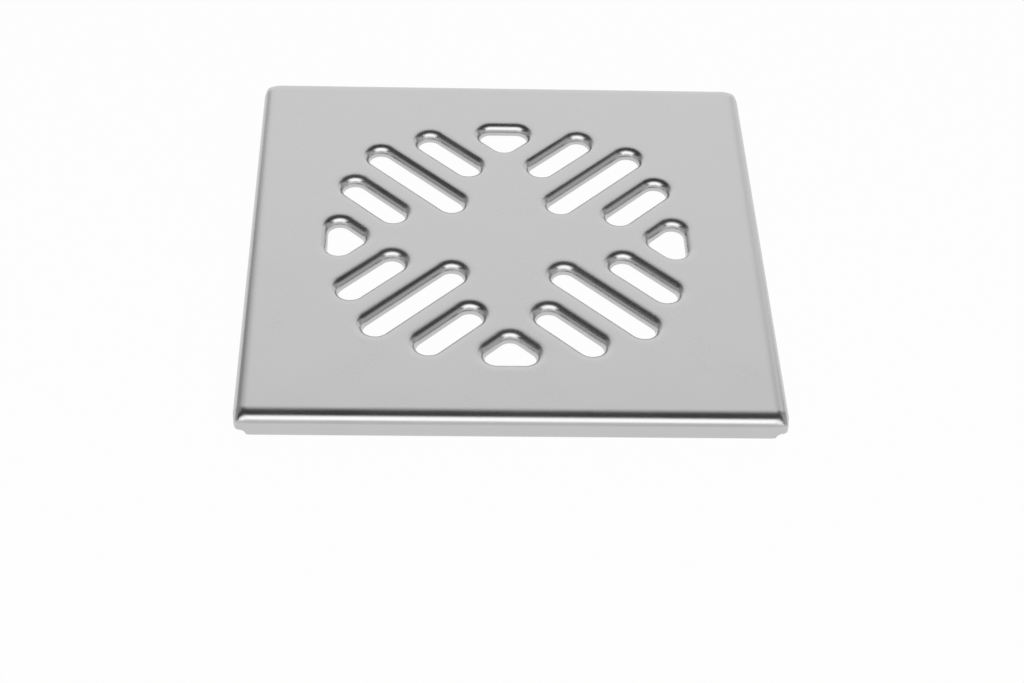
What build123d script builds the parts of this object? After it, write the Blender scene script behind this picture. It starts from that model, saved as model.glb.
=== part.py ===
from build123d import *

import math
import os

# Driving dimensions in millimetres: the pressed sheet
plate_side = 150.0              # across the outside of the skirt, both ways
overall_height = 6.3            # lower edge of the skirt to the flat top
sheet_thickness = 1.0
plan_corner_radius = 5.0        # outside of the skirt's corners, seen from above
skirt_bend_radius = 3.3         # outside of the bend from the flat top to the skirt
bend_turns = (0, 24.5, 47.5, 69.5, 90)   # degrees turned at the corners of the flats that draw a bend

# Driving dimensions: the notch that relieves the sheet at each corner of the skirt, seen along the diagonal
relief_width = 6.6              # at the skirt's lower edge
relief_height = 1.4
relief_top_width = 3.8
relief_overcut = 1.0            # how far the cutter passes both faces of the sheet

# Driving dimensions: the openings, measured across their upright walls
slot_width = 7.0
long_slot_length = 37.3         # end to end
short_slot_length = 23.4        # end to end
long_slot_start = 19.4          # plate centre to the inner end, along the diagonal
short_slot_start = 28.0         # plate centre to the inner end, along the diagonal
triangle_height = 12.0          # sharp point to the base, which is parallel to the plate's edge
triangle_corner_radius = 3.4

# Driving dimensions: the rims, rolled down a quarter turn out of the flat top
rim_radius = 3.0                # outside of the roll, which is also the rim's depth
rim_back_run = 1.15             # how far the back of the rim leans from its cut edge to the underside
rib_flat = 2.8                  # level strip left between the rolls of two neighbouring slots
triangle_rib_flat = 3.25        # level strip left between the rolls of a slot and a triangle

# Worked out from the driving dimensions
slot_pitch = slot_width + 2 * rim_radius + rib_flat
triangle_side_offset = slot_pitch + slot_width / 2 + 2 * rim_radius + triangle_rib_flat
triangle_apex_distance = triangle_side_offset * math.sqrt(2)
triangle_base_distance = triangle_apex_distance + triangle_height
skirt_inner_flat = (skirt_bend_radius - sheet_thickness) * (2 - math.sqrt(2))


def quarter_turn(radius):
    """Corners of a bend's outside, from the level sheet to the upright wall, about the wall's upper end."""
    turns = [math.radians(turn) for turn in bend_turns]
    return [(radius - radius * math.sin(turn), radius * math.cos(turn) - radius) for turn in turns]


def turned_edge(corners, outline, wall_point, into_sheet):
    """The sheet's section, drawn by its corners, stood on the wall and taken all round the outline."""
    across = Vector(*into_sheet, 0)
    stand = Plane(origin=(*wall_point, overall_height), x_dir=across, z_dir=across.cross(Vector(0, 0, 1)))
    section = make_face(Polyline(*corners, close=True))
    return sweep(stand * section, path=Pos(0, 0, overall_height) * outline.wire())


def skirt():
    """The outer edge of the sheet, turned down all round and cut off level."""
    corners = quarter_turn(skirt_bend_radius) + [
        (0, -overall_height),
        (sheet_thickness, -overall_height),
        (sheet_thickness, -sheet_thickness - skirt_inner_flat),
        (sheet_thickness + skirt_inner_flat, -sheet_thickness),
        (skirt_bend_radius, -sheet_thickness),
    ]
    outline = RectangleRounded(plate_side, plate_side, plan_corner_radius)
    return turned_edge(corners, outline, (plate_side / 2, 0), (-1, 0))


def rim(outline, wall_point, into_sheet):
    """The sheet rolled down all round an opening."""
    corners = quarter_turn(rim_radius) + [
        (sheet_thickness, -rim_radius),
        (sheet_thickness + rim_back_run, -sheet_thickness),
        (rim_radius, -sheet_thickness),
    ]
    return turned_edge(corners, outline, wall_point, into_sheet)


def slot(length, start, across):
    """A round-ended slot along X from its inner end outwards, set off sideways from the diagonal, and its rim."""
    middle = start + length / 2
    outline = Pos(middle, across) * SlotOverall(length, slot_width)
    return outline, rim(outline, (middle, across + slot_width / 2), (0, 1))


def triangle():
    """A right-angled opening with its point towards the plate's centre and its base square to X, and its rim."""
    outline = Polygon(
        (triangle_apex_distance, 0),
        (triangle_base_distance, -triangle_height),
        (triangle_base_distance, triangle_height),
        align=None,
    )
    outline = fillet(outline.vertices(), triangle_corner_radius)
    return outline, rim(outline, (triangle_base_distance, 0), (1, 0))


def openings():
    """Every opening with its rim: three slots on each half diagonal and a triangle on each half axis."""
    diagonal = [
        slot(long_slot_length, long_slot_start, 0),
        slot(short_slot_length, short_slot_start, slot_pitch),
        slot(short_slot_length, short_slot_start, -slot_pitch),
    ]
    axial = triangle()
    placed = []
    for turn in (0, 90, 180, 270):
        placed += [(Rot(0, 0, 45 + turn) * outline, Rot(0, 0, 45 + turn) * edge) for outline, edge in diagonal]
        placed.append((Rot(0, 0, turn) * axial[0], Rot(0, 0, turn) * axial[1]))
    return placed


def level_sheet(outlines):
    """The flat top inside the skirt's bend, cut away where the rims roll down."""
    side = plate_side - 2 * skirt_bend_radius
    blank = RectangleRounded(side, side, plan_corner_radius - skirt_bend_radius)
    blank -= [offset(outline, rim_radius) for outline in outlines]
    return Pos(0, 0, overall_height - sheet_thickness) * extrude(blank, sheet_thickness)


def corner_reliefs():
    """Four cutters with sloping sides and a level top, one through the skirt at the middle of each corner."""
    outline = Polygon(
        (-relief_width / 2, 0),
        (relief_width / 2, 0),
        (relief_top_width / 2, relief_height),
        (-relief_top_width / 2, relief_height),
        align=None,
    )
    arc_centre = (plate_side / 2 - plan_corner_radius) * math.sqrt(2)
    outer_reach = arc_centre + plan_corner_radius + relief_overcut
    inner_corner = arc_centre + (plan_corner_radius - sheet_thickness) * math.sqrt(2)
    inner_reach = inner_corner - relief_width / 2 - relief_overcut
    square_on = Plane(origin=(inner_reach, 0, 0), x_dir=(0, 1, 0), z_dir=(1, 0, 0))
    cutter = extrude(square_on * outline, outer_reach - inner_reach)
    return [Rot(0, 0, 45 + turn) * cutter for turn in (0, 90, 180, 270)]


pattern = openings()
drain_cover = level_sheet([outline for outline, edge in pattern])
drain_cover += [skirt()] + [edge for outline, edge in pattern]
drain_cover -= corner_reliefs()

os.makedirs("parts", exist_ok=True)
export_step(drain_cover, "parts/drain_cover.step")
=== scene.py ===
import math

import bmesh
import bpy
from mathutils import Matrix, Vector


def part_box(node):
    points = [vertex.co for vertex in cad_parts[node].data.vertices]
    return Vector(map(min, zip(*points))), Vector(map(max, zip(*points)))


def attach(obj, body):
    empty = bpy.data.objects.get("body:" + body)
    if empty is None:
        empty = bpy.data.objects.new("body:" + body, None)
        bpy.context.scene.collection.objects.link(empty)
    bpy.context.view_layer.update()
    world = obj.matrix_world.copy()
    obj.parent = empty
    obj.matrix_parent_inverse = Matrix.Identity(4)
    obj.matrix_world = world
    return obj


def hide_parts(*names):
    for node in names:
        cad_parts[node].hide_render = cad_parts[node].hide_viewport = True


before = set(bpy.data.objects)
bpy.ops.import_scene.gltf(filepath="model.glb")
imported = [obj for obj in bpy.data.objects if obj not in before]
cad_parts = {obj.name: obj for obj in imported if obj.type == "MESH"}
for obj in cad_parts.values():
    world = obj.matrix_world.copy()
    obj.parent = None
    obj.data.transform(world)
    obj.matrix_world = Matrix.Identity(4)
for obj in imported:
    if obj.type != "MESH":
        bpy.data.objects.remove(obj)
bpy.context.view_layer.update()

bpy.ops.object.select_all(action="DESELECT")


# The rolled lips: the edge of each opening is drawn down by the press into a smooth quarter turn, so no cut
# edge shows from above. Each is made from the sheet's outer face alone: its section is drawn from one point,
# level sheet first, and then taken round the opening's outline.
MM = 0.001
UP = Vector((0, 0, 1))
top_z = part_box("drain_cover")[1].z
lip_depth = 3.2 * MM
lip_arcs = [(16.0 * MM, 3.5), (6.0 * MM, 13), (2.7 * MM, 90)]  # radius, and degrees turned by the arc's end
slot_half_width = 3.5 * MM
slot_pitch = 15.8 * MM
long_slot_length = 37.3 * MM
long_slot_start = 19.4 * MM
short_slot_length = 23.4 * MM
short_slot_start = 28.0 * MM
triangle_point = 40.376 * MM
triangle_height = 12.0 * MM
triangle_corner_radius = 3.4 * MM
steps_in_half_turn = 32
degrees_in_step = 5.5
least_steps = 3
merge_distance = 0.002 * MM


def draw_section(name, wall_point, to_wall, arcs, depth):
    """Draws the bent sheet's outer face in section: the arcs, from the level sheet on, then straight down."""
    bends = []
    turned = 0
    for radius, degrees in arcs:
        bends.append((radius, turned, math.radians(degrees)))
        turned = math.radians(degrees)
    point = wall_point - sum(r * (math.sin(after) - math.sin(before)) for r, before, after in bends) * to_wall
    bpy.ops.mesh.primitive_plane_add(size=MM, location=point)
    piece = bpy.context.object
    piece.name = name
    bpy.ops.object.mode_set(mode="EDIT")
    bpy.ops.mesh.select_mode(type="VERT")
    bpy.ops.mesh.merge(type="CENTER")
    for radius, before, after in bends:
        centre = point - radius * (math.cos(before) * UP + math.sin(before) * to_wall)
        point = centre + radius * (math.cos(after) * UP + math.sin(after) * to_wall)
        steps = max(least_steps, round(math.degrees(after - before) / degrees_in_step))
        bpy.ops.mesh.spin(steps=steps, angle=after - before, center=centre,
                          axis=to_wall.cross(UP))  # spin turns clockwise about its axis
    bpy.ops.mesh.extrude_region_move(TRANSFORM_OT_translate={"value": (wall_point.z - depth - point.z) * UP})
    return piece


def take_round(outline):
    """Takes the section along the outline's straight runs and round its corners, and closes the ring."""
    bpy.ops.mesh.select_mode(type="EDGE")
    bpy.ops.mesh.select_all(action="SELECT")
    for run, corner, turn in outline:
        bpy.ops.mesh.extrude_region_move(TRANSFORM_OT_translate={"value": run})
        steps = round(steps_in_half_turn * abs(turn) / math.pi)
        bpy.ops.mesh.spin(steps=steps, angle=turn, center=corner, axis=-UP)
    bpy.ops.mesh.select_all(action="SELECT")
    bpy.ops.mesh.remove_doubles(threshold=merge_distance)
    bpy.ops.object.mode_set(mode="OBJECT")


def slot_lip(name, start, length, across):
    """The lip of a round-ended slot that lies along X."""
    near = Vector((start + slot_half_width, across, top_z))
    far = Vector((start + length - slot_half_width, across, top_z))
    aside = Vector((0, slot_half_width, 0))
    lip = draw_section(name, near + aside, Vector((0, -1, 0)), lip_arcs, lip_depth)
    take_round([(far - near, far, -math.pi), (near - far, near, -math.pi)])
    return lip


def triangle_lip(name):
    """The lip of a right-angled opening with rounded corners, its point towards the cover's centre."""
    base = triangle_point + triangle_height
    radius = triangle_corner_radius
    corner_y = base - radius - triangle_point - radius * math.sqrt(2)
    upper = Vector((base - radius, corner_y, top_z))
    lower = Vector((base - radius, -corner_y, top_z))
    point = Vector((triangle_point + radius * math.sqrt(2), 0, top_z))
    lip = draw_section(name, lower + Vector((radius, 0, 0)), Vector((-1, 0, 0)), lip_arcs, lip_depth)
    take_round([(upper - lower, upper, math.radians(135)), (point - upper, point, math.radians(90)),
                (lower - point, lower, math.radians(135))])
    return lip


slot_lips = [
    slot_lip("long_slot_lip", long_slot_start, long_slot_length, 0),
    slot_lip("short_slot_lip", short_slot_start, short_slot_length, slot_pitch),
    slot_lip("other_short_slot_lip", short_slot_start, short_slot_length, -slot_pitch),
]
bpy.ops.object.select_all(action="DESELECT")
for lip in slot_lips:
    lip.select_set(True)
bpy.ops.transform.rotate(value=math.radians(45), orient_axis="Z", center_override=(0, 0, 0))
one_quarter = triangle_lip("triangle_lip")
for lip in slot_lips:
    lip.select_set(True)
bpy.ops.object.join()
quarters = [one_quarter]
for quarter in range(3):
    bpy.ops.object.duplicate()
    bpy.ops.transform.rotate(value=math.radians(90), orient_axis="Z", center_override=(0, 0, 0))
    quarters.append(bpy.context.object)


# The skirt: the outside of the blank, turned down past the lips so that the cover stands on its lower edge.
# It goes round the corners in one piece, with a softer shoulder than the lips because nothing held the sheet.
half_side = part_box("drain_cover")[1].x
skirt_arcs = [(11.0 * MM, 7), (8.0 * MM, 15), (3.35 * MM, 90)]
plan_corner_radius = 5.0 * MM
foot_pull = 0.8 * MM
foot_pull_reach = 2.8 * MM
foot_height = 3.7 * MM
on_diagonal = 0.9999  # least cosine of the angle to a corner's diagonal

corner = half_side - plan_corner_radius
signs = ((1, -1), (1, 1), (-1, 1), (-1, -1))
corners = [Vector((x * corner, y * corner, top_z)) for x, y in signs]
skirt_wall = Vector((half_side, -corner, top_z))
cover = draw_section("drain_cover_sheet", skirt_wall, Vector((1, 0, 0)), skirt_arcs, top_z)
take_round([(corners[(i + 1) % 4] - corners[i], corners[(i + 1) % 4], math.pi / 2) for i in range(4)])
bpy.ops.object.transform_apply(location=True, rotation=True, scale=True)

# The die pulls the foot of each corner out towards a sharper one.
for centre in corners:
    outward = Vector((centre.x, centre.y, 0)).normalized()
    bpy.ops.object.mode_set(mode="EDIT")
    bpy.ops.mesh.select_mode(type="VERT")
    bpy.ops.mesh.select_all(action="DESELECT")
    edit = bmesh.from_edit_mesh(cover.data)
    for vert in edit.verts:
        out = (vert.co - centre) * Vector((1, 1, 0))
        middle = out.length > 0 and out.normalized().dot(outward) > on_diagonal
        vert.select_set(vert.co.z < foot_height and middle)
    bmesh.update_edit_mesh(cover.data)
    bpy.ops.transform.translate(value=foot_pull * outward, use_proportional_edit=True,
                                proportional_edit_falloff="SMOOTH", proportional_size=foot_pull_reach)
    bpy.ops.object.mode_set(mode="OBJECT")


# The level sheet: what the press leaves flat between the skirt and the lips. The rings are joined, and the
# flat is filled in between them.
level = 0.001 * MM

bpy.ops.object.select_all(action="DESELECT")
for quarter in quarters:
    quarter.select_set(True)
cover.select_set(True)
bpy.context.view_layer.objects.active = cover
bpy.ops.object.join()
bpy.ops.object.transform_apply(location=True, rotation=True, scale=True)
bpy.ops.object.mode_set(mode="EDIT")
bpy.ops.mesh.select_all(action="DESELECT")
edit = bmesh.from_edit_mesh(cover.data)
for edge in edit.edges:
    edge.select_set(edge.is_boundary and all(v.co.z > top_z - level for v in edge.verts))
bmesh.update_edit_mesh(cover.data)
bpy.ops.mesh.fill(use_beauty=True)
bpy.ops.mesh.select_all(action="SELECT")
bpy.ops.mesh.normals_make_consistent(inside=False)
edit = bmesh.from_edit_mesh(cover.data)
edit.faces.ensure_lookup_table()
highest = max(edit.faces, key=lambda face: (face.calc_center_median().z, face.calc_area()))
if highest.normal.z < 0:
    bpy.ops.mesh.flip_normals()
bpy.ops.object.mode_set(mode="OBJECT")


# Cold-rolled stainless sheet with a satin finish: a dull mirror of neutral grey, whose fine grain spreads
# reflections. Rolling has left it faintly clouded and not quite flat.
def linear(hex_colour):
    """A colour written as an sRGB hex value, as the linear values that the shaders take."""
    parts = [int(hex_colour[i:i + 2], 16) / 255 for i in (1, 3, 5)]
    return [c / 12.92 if c <= 0.04045 else ((c + 0.055) / 1.055) ** 2.4 for c in parts] + [1]


def add_node(tree, kind, sockets, **settings):
    """Adds a node with its settings, its sockets each given a value or a link from another node."""
    node = tree.nodes.new(kind)
    for name, value in settings.items():
        setattr(node, name, value)
    for name, value in sockets.items():
        if isinstance(value, bpy.types.NodeSocket):
            tree.links.new(value, node.inputs[name])
        else:
            node.inputs[name].default_value = value
    return node


grain_width = 0.5 * MM
grain_length = 1.6 * MM
grain_height = 0.0004 * MM
cloud_size = 16 * MM
wave_length = 45 * MM
wave_height = 0.1 * MM

satin = bpy.data.materials.new("satin_stainless_sheet")
satin.use_nodes = True
nodes = satin.node_tree
nodes.nodes.clear()
place = add_node(nodes, "ShaderNodeTexCoord", {}).outputs["Object"]
along = add_node(nodes, "ShaderNodeMapping", {
    "Vector": place, "Scale": (1 / grain_length, 1 / grain_width, 1 / grain_width)}).outputs["Vector"]
grain = add_node(nodes, "ShaderNodeTexNoise", {"Vector": along, "Scale": 1.0, "Detail": 2.0}).outputs["Fac"]
clouds = add_node(nodes, "ShaderNodeTexNoise", {
    "Vector": place, "Scale": 1 / cloud_size, "Detail": 3.0, "Roughness": 0.55}).outputs["Fac"]
waves = add_node(nodes, "ShaderNodeTexNoise", {
    "Vector": place, "Scale": 1 / wave_length, "Detail": 1.0}).outputs["Fac"]
tint = add_node(nodes, "ShaderNodeMixRGB", {
    "Fac": clouds, "Color1": linear("#C3C3C3"), "Color2": linear("#CBCBCB")}).outputs["Color"]
cloud_gloss = add_node(nodes, "ShaderNodeMapRange", {
    "Value": clouds, "From Min": 0.3, "From Max": 0.7, "To Min": 0.235, "To Max": 0.285}).outputs["Result"]
grain_gloss = add_node(nodes, "ShaderNodeMapRange", {
    "Value": grain, "From Min": 0.3, "From Max": 0.7, "To Min": -0.005, "To Max": 0.005}).outputs["Result"]
gloss = add_node(nodes, "ShaderNodeMath", {0: cloud_gloss, 1: grain_gloss}, operation="ADD").outputs["Value"]
wavy = add_node(nodes, "ShaderNodeBump", {
    "Height": waves, "Strength": 1.0, "Distance": wave_height}).outputs["Normal"]
grainy = add_node(nodes, "ShaderNodeBump", {
    "Height": grain, "Strength": 1.0, "Distance": grain_height, "Normal": wavy}).outputs["Normal"]
shader = add_node(nodes, "ShaderNodeBsdfPrincipled", {
    "Base Color": tint, "Metallic": 1.0, "Roughness": gloss, "Normal": grainy})
add_node(nodes, "ShaderNodeOutputMaterial", {"Surface": shader.outputs["BSDF"]})

# The sheared edge of the same steel: torn across half its thickness, so it is duller and a little darker.
tear_size = 0.4 * MM
tear_height = 0.03 * MM

sheared = bpy.data.materials.new("sheared_stainless_edge")
sheared.use_nodes = True
nodes = sheared.node_tree
nodes.nodes.clear()
place = add_node(nodes, "ShaderNodeTexCoord", {}).outputs["Object"]
tearing = add_node(nodes, "ShaderNodeTexNoise", {
    "Vector": place, "Scale": 1 / tear_size, "Detail": 3.0}).outputs["Fac"]
tint = add_node(nodes, "ShaderNodeMixRGB", {
    "Fac": tearing, "Color1": linear("#A3A3A3"), "Color2": linear("#C4C4C4")}).outputs["Color"]
torn = add_node(nodes, "ShaderNodeBump", {
    "Height": tearing, "Strength": 1.0, "Distance": tear_height}).outputs["Normal"]
shader = add_node(nodes, "ShaderNodeBsdfPrincipled", {
    "Base Color": tint, "Metallic": 1.0, "Roughness": 0.42, "Normal": torn})
add_node(nodes, "ShaderNodeOutputMaterial", {"Surface": shader.outputs["BSDF"]})

cover.data.materials.append(satin)
cover.data.materials.append(sheared)

# The sheet gets its thickness on the hidden side, and its sheared edges their own finish.
sheet_thickness = 1.0 * MM

thickness = cover.modifiers.new("sheet_thickness", "SOLIDIFY")
thickness.thickness = sheet_thickness
thickness.offset = -1
thickness.use_even_offset = True
thickness.material_offset_rim = 1
bpy.ops.object.modifier_apply(modifier=thickness.name)


# The corner notches: the blank's corners were nipped off, so that the sheet doesn't bunch up there. At each
# corner the skirt stops short of its lower edge, with a slope at either side.
notch_width = 6.6 * MM
notch_top_width = 3.8 * MM
notch_height = 1.4 * MM
notch_reach = 14.0 * MM
notch_rounding = 0.5 * MM

cutters = []
for centre in corners:
    bpy.ops.object.select_all(action="DESELECT")
    bpy.ops.mesh.primitive_cube_add(size=1, location=(centre.x, centre.y, 0),
                                    rotation=(0, 0, math.atan2(centre.y, centre.x)))
    cutter = bpy.context.object
    cutters.append(cutter)
    cutter.dimensions = (notch_reach, notch_width, 2 * notch_height)
    bpy.ops.object.transform_apply(location=False, rotation=False, scale=True)
    bpy.ops.object.mode_set(mode="EDIT")
    edit = bmesh.from_edit_mesh(cutter.data)
    for face in edit.faces:
        face.select_set(face.normal.z > 0.5)
    bmesh.update_edit_mesh(cutter.data)
    bpy.ops.transform.resize(value=(1, notch_top_width / notch_width, 1), orient_type="LOCAL",
                             center_override=(centre.x, centre.y, 0))
    bpy.ops.mesh.bevel(offset=notch_rounding, segments=4)
    bpy.ops.object.mode_set(mode="OBJECT")
bpy.ops.object.select_all(action="DESELECT")
for cutter in cutters:
    cutter.select_set(True)
bpy.context.view_layer.objects.active = cutters[0]
bpy.ops.object.join()
notches = bpy.context.object
notches.data.materials.append(sheared)

nip = cover.modifiers.new("corner_notches", "BOOLEAN")
nip.object = notches
nip.operation = "DIFFERENCE"
nip.solver = "EXACT"
nip.material_mode = "TRANSFER"
bpy.ops.object.select_all(action="DESELECT")
cover.select_set(True)
bpy.context.view_layer.objects.active = cover
bpy.ops.object.modifier_apply(modifier=nip.name)
bpy.data.objects.remove(notches, do_unlink=True)

# The sheared edges keep a slight burr round that tumbling has taken down.
edge_break = 0.12 * MM
broken_from = math.radians(50)
smooth_below = math.radians(40)

burr = cover.modifiers.new("edge_break", "BEVEL")
burr.width = edge_break
burr.segments = 2
burr.limit_method = "ANGLE"
burr.angle_limit = broken_from
bpy.ops.object.modifier_apply(modifier=burr.name)
bpy.ops.object.shade_smooth_by_angle(angle=smooth_below)
even = cover.modifiers.new("even_shading", "WEIGHTED_NORMAL")
even.keep_sharp = True
bpy.ops.object.modifier_apply(modifier=even.name)


# The dressed sheet rides on the cover's one body and stands in for its plain solid.
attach(cover, "root")
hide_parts("drain_cover")


# The stage: a white paper floor, which also shows white in the steel but still takes the cover's shadow. A
# ring of upright panels stands round it under a dim ceiling, unequally bright, so that each bend in the sheet
# shows light and dark lines. A soft box hangs over the camera.
floor_side = 8.0
floor_gap = 0.05 * MM
white_when_seen = 0.97
white_when_mirrored = 0.9

bpy.ops.mesh.primitive_plane_add(size=floor_side, location=(0, 0, -floor_gap))
floor = bpy.context.object
floor.name = "floor"
paper = bpy.data.materials.new("white_paper_floor")
paper.use_nodes = True
nodes = paper.node_tree
nodes.nodes.clear()
ray = add_node(nodes, "ShaderNodeLightPath", {}).outputs
straight = add_node(nodes, "ShaderNodeMath", {
    0: ray["Is Camera Ray"], 1: ray["Is Transmission Ray"]}, operation="ADD").outputs["Value"]
straight = add_node(nodes, "ShaderNodeMath", {
    0: straight, 1: white_when_seen}, operation="MULTIPLY").outputs["Value"]
share = add_node(nodes, "ShaderNodeMath", {
    0: ray["Is Glossy Ray"], 1: white_when_mirrored, 2: straight}, operation="MULTIPLY_ADD", use_clamp=True)
matt = add_node(nodes, "ShaderNodeBsdfDiffuse", {"Color": linear("#F4F4F4")})
white = add_node(nodes, "ShaderNodeEmission", {"Color": linear("#FFFFFF"), "Strength": 1.0})
both = add_node(nodes, "ShaderNodeMixShader", {
    "Fac": share.outputs["Value"], 1: matt.outputs["BSDF"], 2: white.outputs["Emission"]})
add_node(nodes, "ShaderNodeOutputMaterial", {"Surface": both.outputs["Shader"]})
floor.data.materials.append(paper)


def panel(name, centre, target, width, height, radiance):
    """A flat soft light turned towards a target, given by how bright its face looks."""
    bpy.ops.object.light_add(type="AREA", location=centre)
    lamp = bpy.context.object
    lamp.name = name
    lamp.rotation_euler = (Vector(target) - Vector(centre)).to_track_quat("-Z", "Y").to_euler()
    lamp.data.shape = "RECTANGLE"
    lamp.data.size = width
    lamp.data.size_y = height
    lamp.data.energy = radiance * math.pi * width * height


studio_radius = 1.3


def wall(name, from_azimuth, to_azimuth, height, radiance):
    """An upright panel between two corners of the ring round the cover, at angles from straight behind it."""
    middle = math.radians(from_azimuth + to_azimuth) / 2
    half = math.radians(to_azimuth - from_azimuth) / 2
    x = studio_radius * math.cos(half) * math.sin(middle)
    y = studio_radius * math.cos(half) * math.cos(middle)
    width = 2 * studio_radius * math.sin(half)
    panel(name, (x, y, height / 2), (0, 0, height / 2), width, height, radiance)


wall("back_wall", -32, 36, 1.75, 0.83)
wall("back_left_step", -41, -32, 1.25, 0.62)
wall("back_left_wall", -68, -41, 1.25, 0.3)
wall("back_right_step", 36, 50, 1.02, 0.9)
wall("back_right_wall", 50, 68, 1.25, 0.34)
wall("left_wall", -112, -68, 0.72, 0.45)
wall("right_wall", 68, 112, 1.0, 0.5)
wall("front_left_wall", -158, -112, 0.55, 0.7)
wall("front_right_wall", 112, 158, 0.55, 0.7)
wall("front_wall", 158, 202, 0.55, 0.7)
panel("back_wall_glow", (0.0, 1.05, 0.7), (0, 0, 0.7), 1.05, 1.4, 0.16)
panel("soft_box", (0.0, -0.80, 0.95), (0, 0, 0), 2.3, 1.15, 0.93)
panel("soft_box_core", (0.0, -0.78, 0.93), (0, 0, 0), 1.6, 0.62, 0.88)

world = bpy.data.worlds.new("dim_studio")
bpy.context.scene.world = world
world.use_nodes = True
ceiling = world.node_tree.nodes["Background"]
ceiling.inputs["Color"].default_value = linear("#3A3A3A")
ceiling.inputs["Strength"].default_value = 1.0


# The camera stands in front of the cover, a little left of its middle, and looks down on it.
lens_pixels = 2126.18
image_width = 1024
eye = Vector((-23.591, -473.105, 410.075)) * MM
yaw = 0.05592
pitch = 0.75468
roll = 0.04777

aim = Matrix.Rotation(-yaw, 3, "Z")
aim = aim @ Matrix.Rotation(math.pi / 2 - pitch, 3, "X")
aim = aim @ Matrix.Rotation(roll, 3, "Z")
bpy.ops.object.camera_add(location=eye, rotation=aim.to_euler())
camera = bpy.context.object
camera.data.sensor_fit = "HORIZONTAL"
camera.data.sensor_width = 36
camera.data.lens = lens_pixels / image_width * camera.data.sensor_width
camera.data.clip_start = 0.01
bpy.context.scene.camera = camera
bpy.context.scene.view_settings.view_transform = "Standard"
